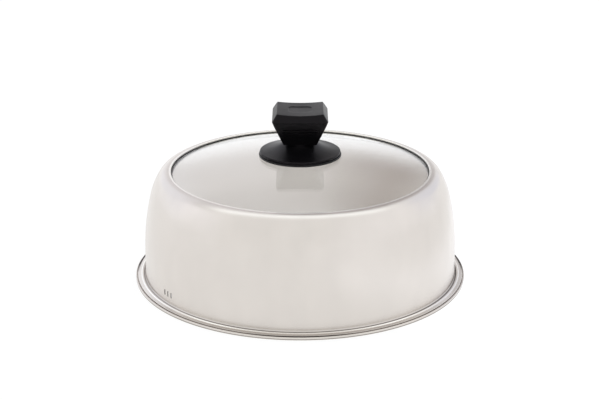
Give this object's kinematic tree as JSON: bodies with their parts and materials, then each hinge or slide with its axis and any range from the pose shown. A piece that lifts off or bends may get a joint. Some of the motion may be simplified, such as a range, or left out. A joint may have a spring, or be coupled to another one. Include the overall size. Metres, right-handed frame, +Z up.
{
  "type": "griddle lid",
  "caption": "Round domed lid for a griddle: spun steel wall with a folded rim and vent slits, domed glass top in a gasket, and a square black knob on a flared base.",
  "frame": {"origin": "centre of the rim's flat underside, on the surface that the lid stands on", "axes": "+Z up along the dome's axis towards the knob; -Y is the front, square to a face of the knob"},
  "size_m": [0.305, 0.305, 0.1586],
  "materials": {
    "steel": "fine circular brushing, satin",
    "glass": "clear tempered, polished",
    "gasket": "black silicone, matte",
    "seal_rubber": "black silicone, matte",
    "knob_seal": "black silicone, satin",
    "knob_base": "black moulded plastic, fine satin texture",
    "knob_grip": "black moulded plastic, fine satin texture",
    "insert_brass": "machined, knurled",
    "fixings": "stainless, bright"
  },
  "bodies": {
    "root": {"dome_shell": "steel", "glass_panel": "glass", "glass_gasket": "gasket", "hole_bush": "seal_rubber", "knob_seal": "knob_seal", "knob_base": "knob_base", "knob_grip": "knob_grip", "threaded_insert": "insert_brass", "glass_pad_washer": "seal_rubber", "steel_washer": "fixings", "lock_washer": "fixings", "knob_screw": "fixings"}
  },
  "joints": []
}
